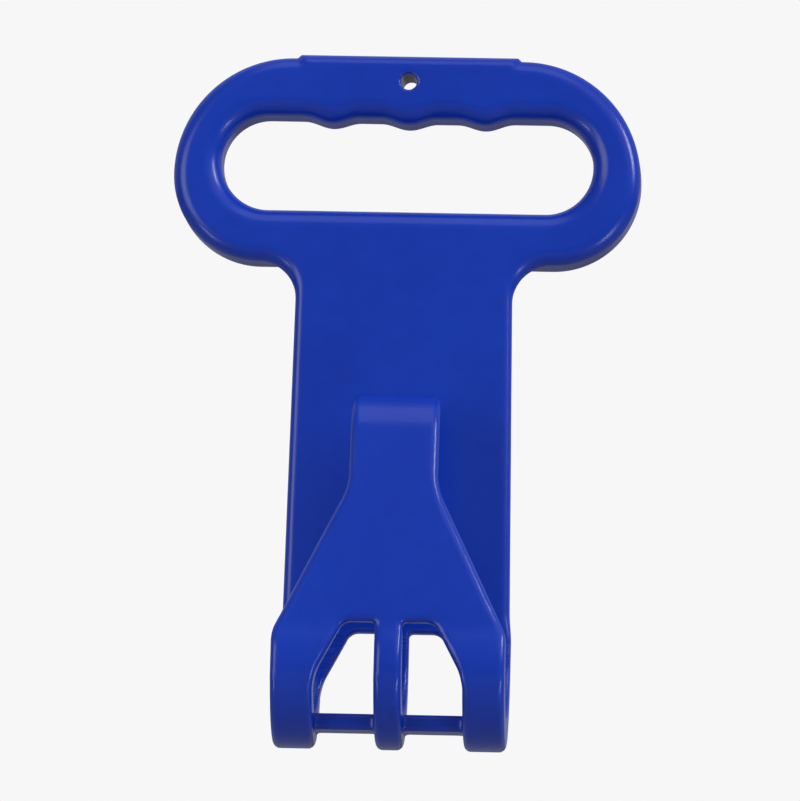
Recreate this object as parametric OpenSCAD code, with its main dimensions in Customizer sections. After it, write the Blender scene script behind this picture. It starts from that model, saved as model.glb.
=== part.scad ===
// Cable holder: a carry handle, a flat back plate and a three-legged hook, moulded in one piece.
// The origin is the hanging hole in the grip, at the back of the handle.
// +Z is up, the hook opens towards -Y and the piece is symmetrical about X = 0.

/* [Handle] */
// Width of the handle across its round ends
handle_w = 122.2; // [112:0.1:150]
// Depth of the handle from front to back
handle_depth = 18; // [15:0.5:24]
// Radius of the two lower outer corners
heel_r = 22.8; // [19:0.1:26]
// Rounding of the outer edges
outer_round = 4; // [2:0.1:5]
// Distance from the ends of the raised land on the grip to the round corners
land_end = 1.2; // [0.5:0.1:8]
// Height of the raised land
land_h = 0.9; // [0.5:0.1:2]

/* [Hand opening] */
// Height of the opening from its floor to the underside of the grip
opening_h = 24.7; // [22:0.1:30]
// Thickness of the grip bar
grip_t = 15.4; // [13:0.1:20]
// Thickness of the rim at the two ends of the opening
side_rim = 12.5; // [10:0.1:16]
// Thickness of the rim under the opening
lower_rim = 13.8; // [11:0.1:16]
// Rounding of the edges round the opening
inner_round = 5; // [2:0.1:5.5]
// Number of finger ridges under the grip
ridge_count = 3; // [1:1:3]
// Distance from one finger ridge to the next
ridge_pitch = 20.2; // [17:0.1:20.5]
// How far a finger ridge stands down from the grip
ridge_drop = 1.9; // [1:0.1:2.5]
// Width of a finger ridge at its foot
ridge_w = 15; // [12:0.1:17]

/* [Hanging hole] */
// Diameter of the hole through the grip
hang_d = 4.4; // [3:0.1:6]
// Height of the hole above the underside of the grip
hang_rise = 9.3; // [8:0.1:10]

/* [Plate] */
// Width of the back plate at the handle. It widens to the legs.
plate_w = 56.6; // [50:0.1:57]
// Thickness of the back plate
plate_t = 6; // [5:0.1:8]
// Rounding of the long edges of the plate and the legs
edge_round = 2.2; // [1:0.1:2.4]
// Radius of the fillets where the plate meets the handle
neck_r = 10; // [6:0.1:12]

/* [Hook] */
// Depth of the channel floor below the hanging hole
channel_drop = 167.3; // [150:0.1:220]
// Gap between the plate and the front of the hook
channel_gap = 30; // [27:0.5:36]
// Overall width of the legs
hook_w = 60; // [58:0.5:66]
// How far the side legs stand out past the long edges of the plate
leg_step = 0.4; // [0.3:0.1:1]
// Width of each side leg
side_leg_w = 10.8; // [8:0.1:14]
// Width of the middle leg
mid_leg_w = 7.1; // [5:0.1:12]
// Thickness of the legs under the channel
leg_floor_t = 9; // [7:0.1:12]
// Thickness of the legs in front of the channel
leg_front_t = 6.4; // [6:0.1:9]
// Thickness of the tie bar that joins the legs
tie_t = 4.3; // [3:0.1:6]
// Depth of the tie bar from front to back
tie_w = 14; // [8:0.5:18]

/* [Tongue] */
// Height of the tip of the tongue above the channel floor
tongue_h = 82.4; // [76:0.1:92]
// Thickness of the tongue
tongue_t = 5; // [4.6:0.1:6]
// Width of the head of the tongue
head_w = 23; // [16:0.5:34]
// Height at which the legs start to taper in to the head
flare_low = 19.6; // [18:0.1:24]
// Height at which the taper reaches the head
flare_high = 57.9; // [45:0.1:62]
// Lean of the tongue back towards the plate, in degrees
tongue_lean = 9; // [6:0.5:10]
// How much the lean changes from its foot and its neck to the middle, in degrees
tongue_bow = 4; // [1:0.5:5]
// Further turn of the curled tip, in degrees
tip_curl = 50; // [20:1:60]
// Radius of the curl at the middle of the tongue
tip_bend_r = 11; // [7:0.5:14]

/* [Windows] */
// Height of the top of the windows above the channel floor
window_h = 22.5; // [19:0.1:26]
// Height of the slanted shoulder at the top of each window
shoulder_h = 14.3; // [8:0.1:18]
// Width of the slanted shoulder
shoulder_w = 7.6; // [3:0.1:10]

/* [Hidden] */
$fn = 96;
over = 1;

// Handle, seen from the front
grip_z = -hang_rise;
opening_r = opening_h / 2;
opening_z = grip_z - opening_r;
opening_x = handle_w / 2 - side_rim - opening_r;
rim_z = grip_z - opening_h;
heel_z = rim_z - lower_rim + heel_r;
heel_x = handle_w / 2 - heel_r;
crown_r = grip_z + grip_t - heel_z;
crown_x = handle_w / 2 - crown_r;

// A finger ridge is the lower rim of a disc that lies in the grip, a little inside its two faces
ridge_r = (pow(ridge_w / 2, 2) + pow(ridge_drop, 2)) / (2 * ridge_drop);
ridge_inset = 0.4;

// Plate and channel, seen from the side
front_y = -handle_depth;
back_y = front_y + plate_t;
channel_r = channel_gap / 2;
channel_y = front_y - channel_r;
channel_floor = -channel_drop;
channel_z = channel_floor + channel_r;
leg_r = (channel_gap + plate_t + leg_front_t) / 2;
leg_y = back_y - leg_r;
leg_z = channel_floor - leg_floor_t + leg_r;
window_z = channel_floor + window_h;

// Legs, seen from the front
leg_x = hook_w / 2 - side_leg_w;

// Tongue, seen from the side. Its middle line leaves the channel's curve as a tangent, bows gently
// up to the neck and then curls back. It stands a little clear of the legs' inner faces.
seat_step = 0.2;
foot_lean = tongue_lean - tongue_bow;
neck_lean = tongue_lean + tongue_bow;
tip_lean = neck_lean + tip_curl;
tip_round = 0.44 * tongue_t;
foot_r = channel_r + seat_step + tongue_t / 2;
foot_y = channel_y - foot_r * cos(foot_lean);
foot_z = channel_z + foot_r * sin(foot_lean);
curl_z = channel_floor + tongue_h - tip_round - (tip_bend_r + tongue_t / 2 - tip_round) * sin(tip_lean);
neck_z = curl_z + tip_bend_r * sin(neck_lean);
bow_r = (neck_z - foot_z) / (sin(neck_lean) - sin(foot_lean));
curl_y = middle_y(neck_z) + tip_bend_r * cos(neck_lean);

// Lean and place of the middle line between the foot and the neck
function lean_at(z) = asin(sin(foot_lean) + (z - foot_z) / bow_r);
function middle_y(z) = foot_y + bow_r * (cos(foot_lean) - cos(lean_at(z)));

// Half the width of the tongue at a height above the channel floor
function half_width(h) = lookup(h, [[flare_low, hook_w / 2 - seat_step], [flare_high, head_w / 2]]);

// Points round a tongue section: a rectangle with rounded corners, w and t from its middle line
function section(w, t, r) = [
  for (q = [0 : 3], k = [0 : 5])
    let (turn = 90 * q + 18 * k, sx = q == 0 || q == 3 ? 1 : -1, st = q < 2 ? 1 : -1)
      [sx * (w - r) + r * cos(turn), st * (t - r) + r * sin(turn)]
];

// A section set across the middle line at [y, z], with its thickness along the lean's normal
function placed(points, y, z, lean) = [
  for (p = points) [p[0], y - p[1] * cos(lean), z + p[1] * sin(lean)]
];

// Turns a section about the Y axis. Its radius comes first, its depth behind the front plane second.
module turned(from, angle) {
  rotate([90, 0, 0])
    rotate_extrude(start = from, angle = angle)
      children();
}

// Draws the same kind of section out along X, with the section's reach pointing up
module straight(length) {
  translate([-length / 2, 0, 0])
    rotate([180, -90, 0])
      linear_extrude(length)
        children();
}

// Section of a slab from its middle out to its rim, with both corners of the rim rounded
module rim_section(reach, depth, r) {
  square([reach - r, depth]);
  translate([0, r]) square([reach, depth - 2 * r]);
  for (v = [r, depth - r]) translate([reach - r, v]) circle(r);
}

// Section of a cutter out to the wall it leaves, flared at both faces to round that wall's edges
module mouth_section(reach, depth, r) {
  difference() {
    translate([0, -over]) square([reach + r, depth + 2 * over]);
    translate([reach, r]) square([2 * r, depth - 2 * r]);
    for (v = [r, depth - r]) translate([reach + r, v]) circle(r);
  }
}

// Slab with the outline of the handle and rounded outer edges
module handle_blank() {
  for (side = [0, 1]) mirror([side, 0, 0]) {
    translate([crown_x, 0, heel_z])
      turned(0, 90) rim_section(crown_r, handle_depth, outer_round);
    translate([heel_x, 0, heel_z])
      turned(270, 90) rim_section(heel_r, handle_depth, outer_round);
  }
  translate([0, 0, heel_z]) {
    straight(2 * crown_x) rim_section(crown_r, handle_depth, outer_round);
    mirror([0, 0, 1])
      straight(2 * heel_x) rim_section(heel_r, handle_depth, outer_round);
    straight(2 * (crown_x - land_end)) rim_section(crown_r + land_h, handle_depth, outer_round);
  }
}

// Cutter for the hand opening: round ends between a straight roof and floor
module hand_opening() {
  for (side = [0, 1]) mirror([side, 0, 0])
    translate([opening_x, 0, opening_z])
      turned(270, 180) mouth_section(opening_r, handle_depth, inner_round);
  for (side = [0, 1])
    translate([0, 0, opening_z]) mirror([0, 0, side])
      straight(2 * opening_x) mouth_section(opening_r, handle_depth, inner_round);
}

// Ridges between the fingers, rounded like the edges of the opening
module finger_ridges() {
  for (k = [1 : ridge_count])
    translate([(k - (ridge_count + 1) / 2) * ridge_pitch, 0, grip_z])
      intersection() {
        translate([0, -ridge_inset, ridge_r - ridge_drop])
          turned(0, 360) rim_section(ridge_r, handle_depth - 2 * ridge_inset, inner_round - ridge_inset);
        translate([-ridge_w / 2 - over, -handle_depth, -ridge_drop - over])
          cube([ridge_w + 2 * over, handle_depth, ridge_drop + over + grip_t / 2]);
      }
}

module handle() {
  difference() {
    union() {
      difference() {
        handle_blank();
        hand_opening();
      }
      finger_ridges();
    }
    translate([0, over, 0]) rotate([90, 0, 0])
      cylinder(d = hang_d, h = handle_depth + 2 * over);
  }
}

// Rectangle about the origin with rounded corners
module rounded_rectangle(w, t, r) {
  square([w, t - 2 * r], center = true);
  square([w - 2 * r, t], center = true);
  for (x = [-1, 1], y = [-1, 1]) translate([x * (w / 2 - r), y * (t / 2 - r)]) circle(r);
}

// Cutter for what lies outside the taper from the legs to the head of the tongue
module beside_flare() {
  for (side = [0, 1]) mirror([side, 0, 0])
    translate([0, channel_y, channel_floor]) rotate([90, 0, 0])
      linear_extrude(channel_gap + leg_front_t)
        polygon([
          [hook_w / 2, flare_low],
          [head_w / 2 + seat_step, flare_high],
          [hook_w, flare_high],
          [hook_w, flare_low]
        ]);
}

// Cutter for the space that holds the coil: round below, and bounded by the leaning tongue in front
module channel() {
  lean_y = channel_y - channel_r * cos(foot_lean);
  lean_z = channel_z + channel_r * sin(foot_lean);
  top_z = window_z + channel_r;
  rotate([90, 0, 90])
    translate([0, 0, -hook_w])
      linear_extrude(2 * hook_w) {
        translate([channel_y, channel_z]) circle(channel_r);
        polygon([
          [channel_y, channel_z],
          [front_y, channel_z],
          [front_y, top_z],
          [lean_y + (top_z - lean_z) * tan(foot_lean), top_z],
          [lean_y, lean_z]
        ]);
      }
}

// Cutter for the windows in the tongue. Below their tops its walls are a little inside the legs.
module windows() {
  foot = -leg_floor_t - over;
  outer = leg_x + seat_step;
  for (side = [0, 1]) mirror([side, 0, 0])
    translate([0, channel_y, channel_floor]) rotate([90, 0, 0])
      linear_extrude(channel_gap + leg_front_t)
        polygon([
          [mid_leg_w / 2 - seat_step, foot],
          [outer, foot],
          [outer, window_h - shoulder_h],
          [outer - shoulder_w, window_h],
          [mid_leg_w / 2 - seat_step, window_h]
        ]);
}

// One leg from x to x + w: up the back, round under the channel and up into the tongue
module leg(x, w) {
  rise = asin((window_z - leg_z) / leg_r) + 12;
  translate([x, leg_y, leg_z]) rotate([0, 90, 0])
    rotate_extrude(start = 270 - rise, angle = 180 + rise)
      rim_section(leg_r, w, edge_round);
  translate([x + w / 2, back_y - plate_t / 2, leg_z])
    linear_extrude(window_z - leg_z + over)
      rounded_rectangle(w, plate_t, edge_round);
}

// Shoulders that widen the side legs up to the tops of the windows
module shoulders() {
  reach = leg_x + edge_round + over;
  for (side = [0, 1]) mirror([side, 0, 0])
    intersection() {
      rotate([90, 0, 90]) linear_extrude(reach)
        union() {
          translate([leg_y, leg_z]) circle(leg_r);
          translate([leg_y, leg_z]) square([leg_r, window_z - leg_z + over]);
        }
      translate([0, 0, channel_floor]) rotate([90, 0, 0])
        linear_extrude(handle_depth + channel_gap + leg_front_t + over)
          polygon([
            [leg_x, window_h - shoulder_h],
            [leg_x - shoulder_w * (1 + over / shoulder_h), window_h + over],
            [reach, window_h + over],
            [reach, window_h - shoulder_h]
          ]);
    }
}

// Bar under the channel that joins the three legs
module tie_bar() {
  translate([0, channel_y, channel_floor - seat_step - tie_t / 2])
    rotate([90, 0, 90])
      linear_extrude(2 * leg_x + side_leg_w, center = true)
        rounded_rectangle(tie_w, tie_t, tie_t / 4);
}

module legs() {
  difference() {
    union() {
      leg(-mid_leg_w / 2, mid_leg_w);
      leg(leg_x, side_leg_w);
      leg(-hook_w / 2, side_leg_w);
      shoulders();
    }
    channel();
    beside_flare();
  }
  tie_bar();
}

// Tongue, lofted through its sections from the foot to the rounded end of the tip
module tongue() {
  t = tongue_t / 2;
  r = tip_round;
  low = channel_floor + flare_low;
  high = channel_floor + flare_high;
  heights = [foot_z - 2, low, for (k = [1 : 4]) low + (high - low) * k / 4, (high + neck_z) / 2];
  curl_steps = 8;
  tip_steps = 4;
  rings = [
    for (z = heights)
      placed(section(half_width(z - channel_floor), t, r), middle_y(z), z, lean_at(z)),
    for (k = [0 : curl_steps])
      let (a = neck_lean + tip_curl * k / curl_steps)
        placed(section(head_w / 2, t, r), curl_y - tip_bend_r * cos(a), curl_z + tip_bend_r * sin(a), a),
    for (k = [1 : tip_steps])
      let (turn = 90 * k / tip_steps, inset = r * (1 - cos(turn)), reach = r * sin(turn))
        placed(
          section(head_w / 2 - inset, t - inset, r - inset),
          curl_y - tip_bend_r * cos(tip_lean) + reach * sin(tip_lean),
          curl_z + tip_bend_r * sin(tip_lean) + reach * cos(tip_lean),
          tip_lean
        )
  ];
  loft(rings);
}

// Solid through a list of rings with the same number of points
module loft(rings) {
  n = len(rings[0]);
  last = n * (len(rings) - 1);
  polyhedron(
    points = [for (ring = rings, p = ring) p],
    faces = [
      [for (i = [n - 1 : -1 : 0]) i],
      [for (i = [0 : n - 1]) last + i],
      for (k = [0 : len(rings) - 2], i = [0 : n - 1])
        [n * k + i, n * k + (i + 1) % n, n * (k + 1) + (i + 1) % n, n * (k + 1) + i]
    ]
  );
}

// Flat plate, flush with the front of the handle and widening down to the legs
module plate() {
  top_z = rim_z - lower_rim / 2;
  below_z = rim_z - lower_rim - neck_r + seat_step;
  low_x = hook_w / 2 - leg_step;
  taper = atan((low_x - plate_w / 2) / (below_z - window_z));
  for (side = [0, 1]) mirror([side, 0, 0]) {
    difference() {
      translate([low_x, (front_y + back_y) / 2, window_z])
        rotate([0, -taper, 0])
          translate([-plate_w / 2, 0, -over])
            linear_extrude(top_z - window_z + over)
              rounded_rectangle(plate_w, plate_t, edge_round);
      translate([-hook_w, front_y - over, window_z - 2 * over])
        cube([2 * hook_w, plate_t + 2 * over, 2 * over]);
    }
    difference() {
      translate([plate_w / 2 - edge_round - over, front_y, below_z])
        cube([neck_r + edge_round + over - seat_step, plate_t, neck_r - seat_step + outer_round]);
      translate([plate_w / 2 + neck_r - seat_step, back_y, below_z])
        turned(90, 90) mouth_section(neck_r, plate_t, edge_round);
    }
  }
}

module cable_holder() {
  color([0.11, 0.22, 0.64]) {
    handle();
    plate();
    legs();
    difference() {
      tongue();
      windows();
    }
  }
}

cable_holder();
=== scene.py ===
import math

import bpy
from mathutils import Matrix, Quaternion, Vector


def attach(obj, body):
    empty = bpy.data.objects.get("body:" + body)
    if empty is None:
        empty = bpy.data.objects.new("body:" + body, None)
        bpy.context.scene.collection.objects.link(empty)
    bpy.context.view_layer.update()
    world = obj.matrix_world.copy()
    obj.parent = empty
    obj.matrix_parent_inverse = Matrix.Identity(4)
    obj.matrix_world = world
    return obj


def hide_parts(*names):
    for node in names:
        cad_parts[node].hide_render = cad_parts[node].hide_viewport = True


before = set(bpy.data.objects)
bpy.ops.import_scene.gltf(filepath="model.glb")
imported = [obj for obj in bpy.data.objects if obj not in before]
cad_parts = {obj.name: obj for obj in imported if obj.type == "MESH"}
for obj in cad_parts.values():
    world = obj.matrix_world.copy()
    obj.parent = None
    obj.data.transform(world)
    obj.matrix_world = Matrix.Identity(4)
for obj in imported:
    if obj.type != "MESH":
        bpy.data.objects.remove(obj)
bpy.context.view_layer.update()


# A socket that adds its Math nodes when it is used in an expression
class Term:
    def __init__(self, graph, socket):
        self.graph = graph
        self.socket = socket

    def math(self, operation, *others):
        return self.graph.math(operation, self, *others)

    def __add__(self, other):
        return self.math("ADD", other)

    def __radd__(self, other):
        return self.math("ADD", other)

    def __sub__(self, other):
        return self.math("SUBTRACT", other)

    def __rsub__(self, other):
        return self.graph.math("SUBTRACT", other, self)

    def __mul__(self, other):
        return self.math("MULTIPLY", other)

    def __rmul__(self, other):
        return self.math("MULTIPLY", other)

    def __truediv__(self, other):
        return self.math("DIVIDE", other)

    def __rtruediv__(self, other):
        return self.graph.math("DIVIDE", other, self)

    def __neg__(self):
        return self.math("MULTIPLY", -1.0)

    def __abs__(self):
        return self.math("ABSOLUTE")

    def low(self, other):
        return self.math("MINIMUM", other)

    def high(self, other):
        return self.math("MAXIMUM", other)

    def share(self):  # held between 0 and 1
        return self.high(0.0).low(1.0)

    def above(self, other):  # 1 where it is greater, else 0
        return self.math("GREATER_THAN", other)

    def fade(self, start, end):  # smooth step from 0 at start to 1 at end
        settings = {"interpolation_type": "SMOOTHSTEP", "clamp": True}
        values = {"Value": self, "From Min": start, "From Max": end}
        return self.graph.add("ShaderNodeMapRange", settings, values)


# A node tree, with one method that adds any node and sets its settings first
class Graph:
    def __init__(self, tree):
        self.tree = tree

    def add(self, kind, settings=None, values=None, out=0):
        node = self.tree.nodes.new(kind)
        for name, value in (settings or {}).items():
            setattr(node, name, value)
        pairs = values.items() if isinstance(values, dict) else enumerate(values or [])
        for slot, value in pairs:
            if isinstance(value, Term):
                self.tree.links.new(value.socket, node.inputs[slot])
            else:
                node.inputs[slot].default_value = value
        return Term(self, node.outputs[out]) if node.outputs else None

    def math(self, operation, *values):
        return self.add("ShaderNodeMath", {"operation": operation}, values)


def span(a, b):  # length of a step by a and b
    return (a * a + b * b).math("SQRT")


def within(a, b, radius):  # inside both shapes, with the edge where they meet rounded
    a, b = a + radius, b + radius
    return a.high(b).low(0.0) + span(a.high(0.0), b.high(0.0)) - radius


def joined(a, b, radius):  # inside either shape, with a fillet where they meet
    return -within(-a, -b, radius)


def blend(first, second, share):
    return first + (second - first) * share


def mixColour(graph, share, first, second):
    colours = [value if isinstance(value, Term) else (*value, 1.0) for value in (first, second)]
    # a Mix node's sockets 6 and 7 are its two colours, and its output 2 is the mixed one
    values = {0: share, 6: colours[0], 7: colours[1]}
    return graph.add("ShaderNodeMix", {"data_type": "RGBA"}, values, out=2)


# Sizes in millimetres and degrees. X runs across, Y is 0 at the wall and negative forward,
# and Z is up. The origin is the axis of the hanging hole at the back of the handle.
holder = {
    "Handle width": 122.2,
    "Handle depth": 18.0,
    "Heel radius": 22.8,
    "Outer rounding": 4.0,
    "Land end": 1.2,
    "Land height": 0.9,
    "Land corner": 0.6,
    "Land fillet": 0.8,
    "Opening height": 24.7,
    "Grip thickness": 15.4,
    "Side rim": 12.5,
    "Lower rim": 13.8,
    "Inner rounding": 5.0,
    "Finger ridges": 3.0,
    "Ridge pitch": 20.2,
    "Ridge drop": 1.9,
    "Ridge width": 15.0,
    "Valley drop": 0.3,
    "Valley start": 0.8,  # the valleys run out between these shares of the pitch
    "Valley end": 1.3,
    "Hole diameter": 4.4,
    "Hole rise": 9.3,
    "Hole lip": 0.35,
    "Plate width": 56.6,
    "Plate thickness": 6.0,
    "Neck fillet": 10.0,
    "Edge rounding": 2.2,
    "Leg rounding": 1.8,
    "Root fillet": 1.4,
    "Channel drop": 167.3,
    "Channel gap": 30.0,
    "Channel rounding": 0.9,
    "Rounding start": 1.0,  # from the channel, where its rounding gives way to the legs'
    "Rounding end": 4.0,
    "Hook width": 60.0,
    "Leg step": 0.4,
    "Step below": 2.0,  # from the windows' top, where the plate steps out to the legs
    "Step above": 6.0,
    "Side leg width": 10.8,
    "Middle leg width": 7.1,
    "Leg floor": 9.0,
    "Leg front": 6.4,
    "Bend reach": 16.0,
    "Foot fillet": 0.6,
    "Fillet run": 1.5,
    "Tie thickness": 4.3,
    "Tie depth": 14.0,
    "Tie drop": 0.2,
    "Tie edge": 1.2,
    "Tie root": 1.2,
    "Tie fillet": 1.0,
    "Tongue height": 82.4,
    "Tongue thickness": 5.0,
    "Head width": 23.0,
    "Head fillet": 1.3,
    "Flare low": 19.6,
    "Flare high": 57.9,
    "Flare corner": 0.9,
    "Lean": 9.0,
    "Bow": 4.0,
    "Tip curl": 50.0,
    "Tip bend": 11.0,
    "Window height": 22.5,
    "Window corner": 1.6,
    "Window peak": 1.0,
    "Window edge": 1.4,
    "Shoulder height": 14.3,
    "Shoulder width": 7.6,
    "Shoulder corner": 1.5,
    "Mark width": 6.0,
    "Mark depth": 0.22,
    "Mark softness": 0.4,
    "Mark reach": 1.0,
    "Mark rise": 0.3,  # shares of the plate's length and width
    "Mark spread": 0.32,
    "Mesh step": 0.72,
    "Ripple": 0.03,
    "Ripple scale": 0.09,
    "Seed": 4.0,
}


# A shape is given below by the distance to its surface, which is negative inside it,
# and side is the distance from the middle plane


def handleFoot(size):  # height of the handle's lower edge
    return -size("Hole rise") - size("Opening height") - size("Lower rim")


def windowTop(size):
    return size("Window height") - size("Channel drop")


def legCentre(size):  # of the outside of the legs' bend
    legR = (size("Channel gap") + size("Plate thickness") + size("Leg front")) * 0.5
    legY = size("Plate thickness") - size("Handle depth") - legR
    legZ = legR - size("Channel drop") - size("Leg floor")
    return legY, legZ, legR


def channelCentre(size):
    channelR = size("Channel gap") * 0.5
    return -size("Handle depth") - channelR, channelR - size("Channel drop"), channelR


def handleOutline(size, z, side):  # from the front, with the raised land on the grip
    heelR = size("Heel radius")
    heelZ = handleFoot(size) + heelR
    heelX = size("Handle width") * 0.5 - heelR
    crownR = size("Grip thickness") - size("Hole rise") - heelZ
    crownX = size("Handle width") * 0.5 - crownR
    rise = z - heelZ
    crown = span((side - crownX).high(0.0), rise) - crownR
    heel = span((side - heelX).high(0.0), rise) - heelR
    outline = blend(heel, crown, rise.above(0.0))
    landX = crownX - size("Land end")
    landZ = heelZ + crownR + size("Land height")
    land = within(side - landX, z - landZ, size("Land corner"))
    return joined(outline, land.high(heelZ - z), size("Land fillet"))


def handOpening(size, x, z, side):
    openingR = size("Opening height") * 0.5
    openingZ = -size("Hole rise") - openingR
    openingX = size("Handle width") * 0.5 - size("Side rim") - openingR

    # the roof drops at the finger ridges, and slightly between them
    pitch = size("Ridge pitch")
    half = (size("Finger ridges") - 1.0) * 0.5
    turn = (x / pitch + half).math("ROUND").high(0.0).low(half * 2.0)
    offset = abs(x - (turn - half) * pitch) / (size("Ridge width") * 0.5)
    ridge = (offset.low(1.0) * math.pi).math("COSINE") * 0.5 + 0.5
    valley = 1.0 - side.fade(pitch * size("Valley start"), pitch * size("Valley end"))
    drop = size("Valley drop") * valley + (size("Ridge drop") - size("Valley drop")) * ridge
    up = z - openingZ
    up = up + drop * (up / (openingR - drop)).share()
    return span((side - openingX).high(0.0), up) - openingR


def legBlend(size, z):  # 0 at the legs and 1 at the plate above them
    return z.fade(windowTop(size) - size("Step below"), windowTop(size) + size("Step above"))


def plateEdge(size, z):  # half the plate's width, which grows slightly down to the legs
    topZ = handleFoot(size) - size("Neck fillet")
    lowX = size("Hook width") * 0.5 - size("Leg step")
    taper = ((topZ - z) / (topZ - windowTop(size))).low(1.0)
    edge = blend(size("Plate width") * 0.5, lowX, taper)
    return edge + size("Leg step") * (1.0 - legBlend(size, z))


def shoulderLine(size, z, side):  # negative on the window's side of a side leg's inner wall
    legX = size("Hook width") * 0.5 - size("Side leg width")
    lowZ = size("Window height") - size("Shoulder height") - size("Channel drop")
    wide, tall = size("Shoulder width"), size("Shoulder height")
    slant = ((side - legX) * tall + (z - lowZ) * wide) / span(wide, tall)
    return within(side - legX, slant, size("Shoulder corner"))


def windowOutline(size, z, side):
    legX = size("Middle leg width") * 0.5
    inner = within(legX - side, z - windowTop(size), size("Window peak"))
    return within(inner, shoulderLine(size, z, side), size("Window corner"))


def ejectorMarks(size, y, z, side):  # depth of the four round dents in the plate's back
    topZ, lowZ = handleFoot(size), windowTop(size)
    row = abs(z - (topZ + lowZ) * 0.5) - (topZ - lowZ) * size("Mark rise")
    column = side - size("Plate width") * size("Mark spread")
    mark = span(column, row) - size("Mark width") * 0.5
    fromBack = y - (size("Plate thickness") - size("Handle depth"))
    dent = 1.0 - mark.fade(-size("Mark softness"), size("Mark softness"))
    return dent * fromBack.above(-size("Mark reach")) * size("Mark depth")


def handleAndPlate(size, x, y, z, side):
    lowZ = handleFoot(size)
    depth = size("Handle depth")
    handle = handleOutline(size, z, side)
    plate = (side - plateEdge(size, z)).high(z - (lowZ + size("Lower rim") * 0.5))
    both = joined(handle, plate, size("Neck fillet"))

    # the front faces are flush, and the plate's back is set forward of the handle's
    neck = z.fade(lowZ - size("Neck fillet"), lowZ)
    frontEdge = blend(size("Edge rounding"), size("Outer rounding"), neck)
    front = within(both, -depth - y, frontEdge)
    handleBack = within(handle, y, size("Outer rounding"))
    plateBack = within(both, y - (size("Plate thickness") - depth), size("Edge rounding"))
    back = joined(handleBack, plateBack, size("Root fillet"))
    slab = abs(y + depth * 0.5) - depth * 0.5
    rim = within(-handOpening(size, x, z, side), slab, size("Inner rounding"))
    hole = within(size("Hole diameter") * 0.5 - span(x, z), slab, size("Hole lip"))
    body = front.high(back).high(rim).high(hole)

    # the windows are cut, and the plate ends where the legs turn forward
    body = within(body, -windowOutline(size, z, side), size("Window edge"))
    body = body.high(legCentre(size)[1] - z)
    return body + ejectorMarks(size, y, z, side)


def tongueLine(size, y, z):  # distance to its middle line, how far ahead of it, foot angle
    channelY, channelZ, channelR = channelCentre(size)
    half = size("Tongue thickness") * 0.5
    foot = (size("Lean") - size("Bow")).math("RADIANS")
    neck = (size("Lean") + size("Bow")).math("RADIANS")
    tip = (size("Lean") + size("Bow") + size("Tip curl")).math("RADIANS")
    footR = channelR + half
    footY = channelY - footR * foot.math("COSINE")
    footZ = channelZ + footR * foot.math("SINE")
    curlR = size("Tip bend")
    curlZ = size("Tongue height") - size("Channel drop") - half - curlR * tip.math("SINE")
    neckZ = curlZ + curlR * neck.math("SINE")
    bowR = (neckZ - footZ) / (neck.math("SINE") - foot.math("SINE"))
    bowY = footY + bowR * foot.math("COSINE")
    bowZ = footZ - bowR * foot.math("SINE")
    curlY = bowY - (bowR - curlR) * neck.math("COSINE")

    def arc(centreY, centreZ, radius, start, end):
        turn = (z - centreZ).math("ARCTAN2", centreY - y).high(start).low(end)
        nearY = y - centreY + radius * turn.math("COSINE")
        return span(nearY, z - centreZ - radius * turn.math("SINE"))

    overlap = 0.02  # in radians, how far inside the legs the bow starts
    bow = arc(bowY, bowZ, bowR, foot - overlap, neck)
    curl = arc(curlY, curlZ, curlR, neck, tip)
    return bow.low(curl), span(y - bowY, z - bowZ) - bowR, foot


def hookOutline(size, y, z, side):  # from the front: legs, flare and head
    hookX = size("Hook width") * 0.5
    lowZ = size("Flare low") - size("Channel drop")
    tall = size("Flare high") - size("Channel drop") - lowZ
    wide = (size("Hook width") - size("Head width")) * 0.5
    slant = ((side - hookX) * tall + (z - lowZ) * wide) / span(wide, tall)
    lower = within(side - hookX, slant, size("Flare corner"))
    flare = joined(lower, side - size("Head width") * 0.5, size("Head fillet"))
    isBack = y.above(legCentre(size)[0])
    return blend(flare, side - plateEdge(size, z), isBack).high(-windowOutline(size, z, side))


def hookProfile(size, y, z):  # from the side: legs and tongue, and the channel that they hold
    legY, legZ, legR = legCentre(size)
    channelY, channelZ, channelR = channelCentre(size)
    line, ahead, foot = tongueLine(size, y, z)
    half = size("Tongue thickness") * 0.5
    down = z - legZ
    outer = span(y - legY, blend(down, down.low(0.0), y.above(legY))) - legR
    isUpper = (z - channelZ).above((channelY - y).high(0.0) * foot.math("TANGENT"))
    trough = span(y - channelY, z - channelZ) - channelR
    channel = blend(trough, (y + size("Handle depth")).high(ahead + half), isUpper)
    bend = outer.high(-channel).high(z - windowTop(size) - size("Bend reach"))
    ease = (ahead / size("Fillet run")).share() * size("Foot fillet")
    return joined(line - half, bend, ease), channel


def hook(size, y, z, side):
    fromFront = hookOutline(size, y, z, side)
    fromSide, channel = hookProfile(size, y, z)

    # the legs are rounder outside than round the channel
    outside = channel.fade(size("Rounding start"), size("Rounding end"))
    legEdge = blend(size("Channel rounding"), size("Leg rounding"), outside)
    rounding = blend(legEdge, size("Edge rounding"), legBlend(size, z))
    body = within(fromSide, fromFront, rounding)

    # tie bar across both windows, its ends rooted in the legs and its top without a fillet
    outerX = size("Hook width") * 0.5 - size("Side leg width")
    innerX = size("Middle leg width") * 0.5
    topZ = -size("Channel drop") - size("Tie drop")
    thick = size("Tie thickness")
    barX = abs(side - (outerX + innerX) * 0.5) - (outerX - innerX) * 0.5 - size("Tie root")
    barY = abs(y - channelCentre(size)[0]) - size("Tie depth") * 0.5
    barZ = abs(z - topZ + thick * 0.5) - thick * 0.5
    bar = within(barY, barZ, size("Tie edge")).high(barX)
    return joined(body, bar, ((topZ - z) / size("Fillet run")).share() * size("Tie fillet"))


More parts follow.
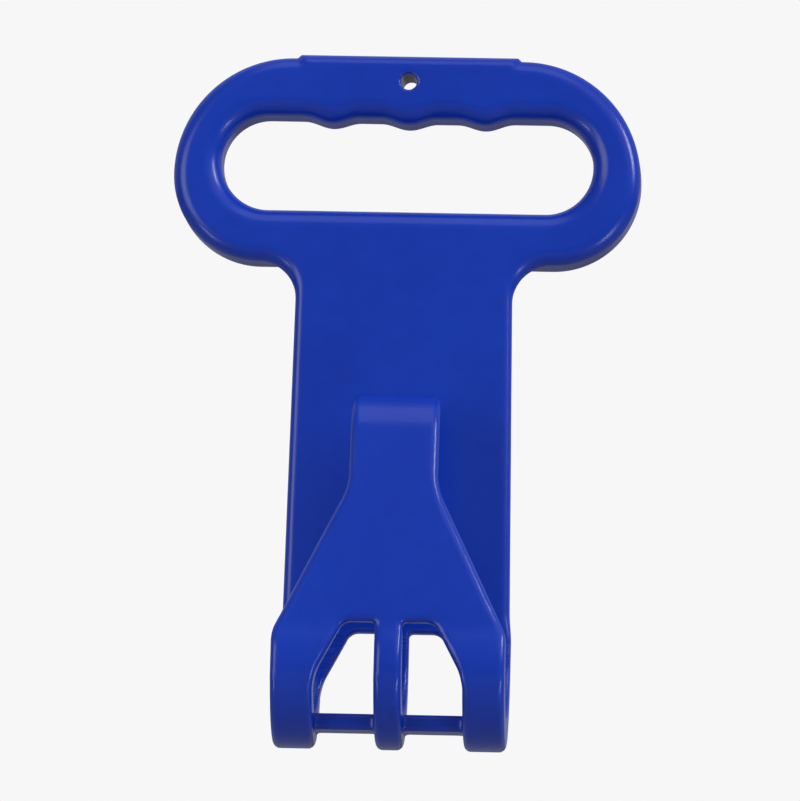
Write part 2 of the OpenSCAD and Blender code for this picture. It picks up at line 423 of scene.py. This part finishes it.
def buildHolder():
    tree = bpy.data.node_groups.new("holderShape", "GeometryNodeTree")
    graph = Graph(tree)
    identifiers = {}
    for name, value in holder.items():
        socket = tree.interface.new_socket(name, in_out="INPUT", socket_type="NodeSocketFloat")
        socket.default_value = value
        identifiers[name] = socket.identifier
    tree.interface.new_socket("Geometry", in_out="OUTPUT", socket_type="NodeSocketGeometry")
    named = graph.add("NodeGroupInput").socket.node.outputs

    def size(name):
        return Term(graph, named[name])

    place = graph.add("GeometryNodeInputPosition")
    x, y, z = (graph.add("ShaderNodeSeparateXYZ", None, [place], out=k) for k in range(3))
    side = abs(x)
    distance = handleAndPlate(size, x, y, z, side).low(hook(size, y, z, side))

    # the distance is sampled on a grid, and its zero surface becomes the mesh
    margin = 2.0
    empty = -5.0  # what stands for the air outside the grid's box
    wide = size("Handle width") * 0.5 + margin
    deep = size("Handle depth") + size("Channel gap") + size("Leg front") + margin
    low = size("Channel drop") + size("Leg floor") + margin
    high = size("Grip thickness") + size("Land height") - size("Hole rise") + margin
    volume = graph.add(
        "GeometryNodeVolumeCube",
        None,
        {
            "Density": -distance,
            "Background": empty,
            "Min": graph.add("ShaderNodeCombineXYZ", None, [-wide, -deep, -low]),
            "Max": graph.add("ShaderNodeCombineXYZ", None, [wide, margin, high]),
            "Resolution X": wide * 2.0 / size("Mesh step"),
            "Resolution Y": (deep + margin) / size("Mesh step"),
            "Resolution Z": (low + high) / size("Mesh step"),
        },
    )
    values = {"Volume": volume, "Threshold": 0.0}
    mesh = graph.add("GeometryNodeVolumeToMesh", {"resolution_mode": "GRID"}, values)
    normal = graph.add("GeometryNodeInputNormal")

    def pushed(mesh, push):  # every point moves along its normal
        values = {0: normal, "Scale": push}
        offset = graph.add("ShaderNodeVectorMath", {"operation": "SCALE"}, values)
        return graph.add("GeometryNodeSetPosition", None, {"Geometry": mesh, "Offset": offset})

    # each point is drawn onto the true surface in two steps, by most of its distance
    pull = 0.9
    mesh = pushed(mesh, distance * -pull)
    mesh = pushed(mesh, distance * -pull)

    # the slight ripple of a moulding only goes inwards, so the outer sizes stay
    values = {"Vector": place, "W": size("Seed"), "Scale": size("Ripple scale"), "Detail": 1.0}
    ripple = graph.add("ShaderNodeTexNoise", {"noise_dimensions": "4D"}, values)
    mesh = pushed(mesh, (ripple - 1.0) * size("Ripple"))

    millimetre = 0.001
    values = {"Geometry": mesh, "Scale": [millimetre] * 3}
    mesh = graph.add("GeometryNodeTransform", None, values)
    values = {"Geometry": mesh, "Shade Smooth": True}
    mesh = graph.add("GeometryNodeSetShadeSmooth", None, values)
    mesh = graph.add("GeometryNodeRealizeInstances", None, [mesh])
    values = {"Geometry": mesh, "Material": mouldedBlue()}
    mesh = graph.add("GeometryNodeSetMaterial", None, values)
    graph.add("NodeGroupOutput", None, {"Geometry": mesh})

    shell = bpy.data.objects.new("holderShell", bpy.data.meshes.new("holderShell"))
    bpy.context.collection.objects.link(shell)
    modifier = shell.modifiers.new("shape", "NODES")
    modifier.node_group = tree
    for name, value in holder.items():
        modifier[identifiers[name]] = value
    evaluated = shell.evaluated_get(bpy.context.evaluated_depsgraph_get())
    plain = bpy.data.meshes.new_from_object(evaluated)
    shell.modifiers.clear()
    shell.data = plain
    plain.name = "holderShell"
    print("holder built,", len(plain.polygons), "faces")
    return shell


# The plastic, with lengths in metres and scales per metre
finish = {
    "colour": (0.0032, 0.0335, 0.372),
    "deepColour": (0.0026, 0.0280, 0.335),
    "colourRange": (0.36, 0.64),  # of the streaks and the mottle, where the colour changes
    "flowScale": 26.0,
    "flowStretch": (1.0, 1.0, 0.3),
    "flowShare": 0.7,
    "mottleScale": 260.0,
    "mottleRoughness": 0.05,
    "roughness": 0.25,
    "refraction": 1.49,
    "gloss": 0.4,
    "grainScale": 1900.0,
    "grainRoughness": 0.025,
    "grainHeight": 0.0000015,
    "rubScale": 500.0,
    "rubStretch": (0.1, 1.0, 1.0),
    "rubRange": (0.48, 0.62),
    "rubRoughness": 0.16,
    "seat": (0.0, -0.033, -0.1523),  # middle of the channel, where what hangs there rubs
    "seatRange": (0.01536, 0.0176),  # the marks end between these distances from it
    "partingDepth": -0.009,  # where the two halves of the mould meet
    "partingWidth": 0.00022,
    "partingHeight": 0.00004,
    "partingRoughness": 0.1,
}


def mouldedBlue():
    material = bpy.data.materials.new("mouldedBlue")
    material.use_nodes = True
    tree = material.node_tree
    graph = Graph(tree)
    place = graph.add("ShaderNodeTexCoord", out="Object")

    def stretched(factors):
        return graph.add("ShaderNodeVectorMath", {"operation": "MULTIPLY"}, [place, factors])

    def noise(vector, scale, detail):
        values = {"Vector": vector, "Scale": scale, "Detail": detail}
        return graph.add("ShaderNodeTexNoise", None, values)

    # streaks of the melt and a fine mottle in the colour
    flow = noise(stretched(finish["flowStretch"]), finish["flowScale"], detail=3.0)
    mottle = noise(place, finish["mottleScale"], detail=2.0)
    share = flow * finish["flowShare"] + mottle * (1.0 - finish["flowShare"])
    share = share.fade(*finish["colourRange"])
    colour = mixColour(graph, share, finish["colour"], finish["deepColour"])

    # fine grain, rub marks on the hook's seat and the parting line round the handle
    grain = noise(place, finish["grainScale"], detail=3.0)
    values = [stretched((0.0, 1.0, 1.0)), finish["seat"]]  # measured as seen from the side
    reach = graph.add("ShaderNodeVectorMath", {"operation": "DISTANCE"}, values, out="Value")
    rub = noise(stretched(finish["rubStretch"]), finish["rubScale"], detail=2.0)
    rub = rub.fade(*finish["rubRange"]) * (1.0 - reach.fade(*finish["seatRange"]))
    depth = graph.add("ShaderNodeSeparateXYZ", None, [place], out="Y")
    parting = 1.0 - abs(depth - finish["partingDepth"]).fade(0.0, finish["partingWidth"])
    rough = finish["roughness"] + (grain - 0.5) * finish["grainRoughness"]
    rough = rough + (mottle - 0.5) * finish["mottleRoughness"]
    rough = rough + rub * finish["rubRoughness"] + parting * finish["partingRoughness"]
    height = grain * finish["grainHeight"] + parting * finish["partingHeight"]
    values = {"Strength": 1.0, "Distance": 1.0, "Height": height}
    bump = graph.add("ShaderNodeBump", None, values)

    shader = tree.nodes["Principled BSDF"]
    tree.links.new(colour.socket, shader.inputs["Base Color"])
    tree.links.new(rough.socket, shader.inputs["Roughness"])
    tree.links.new(bump.socket, shader.inputs["Normal"])
    shader.inputs["IOR"].default_value = finish["refraction"]
    shader.inputs["Specular IOR Level"].default_value = finish["gloss"]
    return material


# The camera, in metres and degrees
view = {
    "distance": 2.2,
    "azimuth": 3.0,
    "elevation": -6.5,
    "roll": 1.4,
    "frameHeight": 0.208,
    "target": (0.0, -0.022, -0.0845),
    "sensorWidth": 36.0,
    "seenFrom": 0.05,
    "seenTo": 60.0,
}


def towards(azimuth, elevation):  # unit vector, azimuth from the front to the right
    a, e = math.radians(azimuth), math.radians(elevation)
    return Vector((math.sin(a) * math.cos(e), -math.cos(a) * math.cos(e), math.sin(e)))


def buildCamera():
    back = towards(view["azimuth"], view["elevation"])
    data = bpy.data.cameras.new("camera")
    data.sensor_width = view["sensorWidth"]
    data.lens = data.sensor_width * view["distance"] / view["frameHeight"]
    data.clip_start, data.clip_end = view["seenFrom"], view["seenTo"]
    camera = bpy.data.objects.new("camera", data)
    camera.location = Vector(view["target"]) + back * view["distance"]
    camera.rotation_mode = "QUATERNION"
    aim = (-back).to_track_quat("-Z", "Y")
    aim.rotate(Quaternion(back, math.radians(view["roll"])))
    camera.rotation_quaternion = aim
    bpy.context.scene.collection.objects.link(camera)
    bpy.context.scene.camera = camera
    bpy.context.scene.view_settings.view_transform = "Standard"
    print("camera set")


# Each lamp: azimuth, elevation, distance, width and height in metres, the level it gives
# a white card that faces it, where 1 is white, and whether it shows in reflections
lamps = {
    "keyLamp": (42.0, 38.0, 2.2, 2.0, 2.0, 0.72, False),
    "fillLamp": (-44.0, 3.0, 1.7, 1.1, 1.0, 0.36, True),
    "edgeLamp": (68.0, 24.0, 1.4, 0.2, 0.55, 0.36, True),
    "lowRightLamp": (52.0, -28.0, 0.7, 0.13, 0.13, 0.11, True),
    "lowLeftLamp": (-50.0, -28.0, 0.7, 0.13, 0.13, 0.075, True),
    "topLamp": (0.0, 66.0, 1.4, 0.9, 1.1, 0.14, True),
    "backLamp": (215.0, 40.0, 1.9, 1.8, 1.3, 0.75, False),
}


def buildLamps():
    centre = Vector(view["target"])
    for name, values in lamps.items():
        azimuth, elevation, distance, width, height, level, reflected = values
        data = bpy.data.lights.new(name, "AREA")
        data.shape = "RECTANGLE"
        data.size, data.size_y = width, height
        data.energy = level * (math.pi * distance) ** 2  # watts, for that level on the card
        lamp = bpy.data.objects.new(name, data)
        lamp.location = centre + towards(azimuth, elevation) * distance
        lamp.rotation_mode = "QUATERNION"
        lamp.rotation_quaternion = (-towards(azimuth, elevation)).to_track_quat("-Z", "Y")
        lamp.visible_glossy = reflected
        bpy.context.scene.collection.objects.link(lamp)
    print("lamps set,", len(lamps))


# The pale room round the holder
room = {
    "white": 0.93,  # what the camera sees behind the holder
    "shine": 0.2,  # share of it seen in reflections
    "frontLight": 0.22,
    "backLight": 0.5,
    "backRange": (-0.25, 0.35),  # of a direction's Y, where the front turns into the back
}


def seenBy(graph, kind):
    return graph.add("ShaderNodeLightPath", out=f"Is {kind} Ray")


def seenDirectly(graph):
    return seenBy(graph, "Camera").high(seenBy(graph, "Transmission"))


def buildRoom():
    world = bpy.data.worlds.new("room")
    bpy.context.scene.world = world
    world.use_nodes = True
    graph = Graph(world.node_tree)
    direction = graph.add("ShaderNodeTexCoord", out="Generated")
    behind = graph.add("ShaderNodeSeparateXYZ", None, [direction], out="Y")
    behind = behind.fade(*room["backRange"])
    glossy = seenBy(graph, "Glossy") * behind * room["shine"]
    diffuse = seenBy(graph, "Diffuse") * behind
    light = blend(room["frontLight"], room["backLight"], diffuse)
    strength = blend(light, room["white"], seenDirectly(graph).high(glossy))
    background = world.node_tree.nodes["Background"]
    background.inputs["Color"].default_value = (1.0, 1.0, 1.0, 1.0)
    world.node_tree.links.new(strength.socket, background.inputs["Strength"])
    print("room set")


# The pale floor, which fades into the room
floor = {
    "height": -0.46,
    "reach": 8.0,
    "colour": (0.22, 0.22, 0.22),
    "glow": (0.66, 0.66, 0.66),  # what the camera sees near the holder
    "shine": 0.08,  # share of that glow seen in reflections
    "fadeRange": (0.8, 6.0),
    "roughness": 0.7,
}


def paleFloor():
    material = bpy.data.materials.new("paleFloor")
    material.use_nodes = True
    tree = material.node_tree
    graph = Graph(tree)
    black = (0.0, 0.0, 0.0)
    place = graph.add("ShaderNodeTexCoord", out="Object")
    far = graph.add("ShaderNodeVectorMath", {"operation": "LENGTH"}, [place], out="Value")
    far = far.fade(*floor["fadeRange"])
    base = mixColour(graph, far, floor["colour"], black)
    glow = mixColour(graph, far, floor["glow"], [room["white"]] * 3)
    seen = seenDirectly(graph).high(seenBy(graph, "Glossy") * floor["shine"])
    glow = mixColour(graph, seen, black, glow)
    shader = tree.nodes["Principled BSDF"]
    tree.links.new(base.socket, shader.inputs["Base Color"])
    tree.links.new(glow.socket, shader.inputs["Emission Color"])
    shader.inputs["Emission Strength"].default_value = 1.0
    shader.inputs["Roughness"].default_value = floor["roughness"]
    shader.inputs["Specular IOR Level"].default_value = 0.0
    return material


def buildFloor():
    mesh = bpy.data.meshes.new("floor")
    far, z = floor["reach"], floor["height"]
    corners = [(-far, -far, z), (far, -far, z), (far, far, z), (-far, far, z)]
    mesh.from_pydata(corners, [], [(0, 1, 2, 3)])
    mesh.materials.append(paleFloor())
    ground = bpy.data.objects.new("floor", mesh)
    bpy.context.collection.objects.link(ground)
    print("floor set")


shell = buildHolder()
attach(shell, "root")
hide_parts("cable_holder")
buildCamera()
buildLamps()
buildRoom()
buildFloor()
